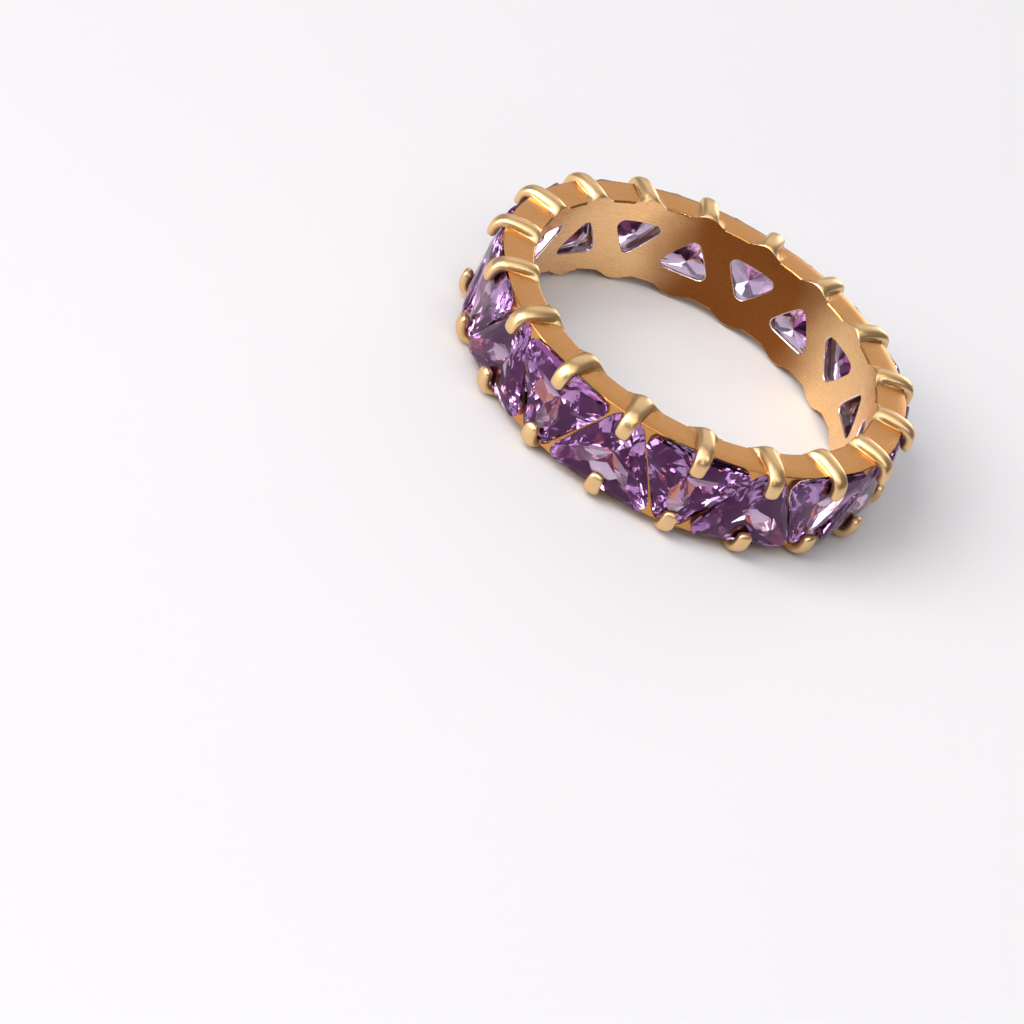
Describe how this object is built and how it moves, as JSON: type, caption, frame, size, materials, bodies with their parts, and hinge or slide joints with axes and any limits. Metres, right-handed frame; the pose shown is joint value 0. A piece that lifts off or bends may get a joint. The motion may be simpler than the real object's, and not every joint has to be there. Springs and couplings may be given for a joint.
{
  "type": "statement ring",
  "caption": "Gold eternity ring set with purple trillion-cut stones, pointing up and down in turn, held by claws from flat rails over a windowed inner wall.",
  "frame": {"origin": "centre of the ring on the plane that its lower claws rest on", "axes": "+Z along the finger hole's axis, up from the resting plane; the first stone faces -Y, base up"},
  "size_m": [0.0216, 0.0218, 0.0051],
  "materials": {
    "gold": "satin gold plating, finely brushed",
    "purple_stone": "polished facets"
  },
  "bodies": {
    "root": {"band": "gold", "stone_01": "purple_stone", "stone_02": "purple_stone", "stone_03": "purple_stone", "stone_04": "purple_stone", "stone_05": "purple_stone", "stone_06": "purple_stone", "stone_07": "purple_stone", "stone_08": "purple_stone", "stone_09": "purple_stone", "stone_10": "purple_stone", "stone_11": "purple_stone", "stone_12": "purple_stone", "stone_13": "purple_stone", "stone_14": "purple_stone", "stone_15": "purple_stone", "stone_16": "purple_stone", "stone_17": "purple_stone", "stone_18": "purple_stone"}
  },
  "joints": []
}
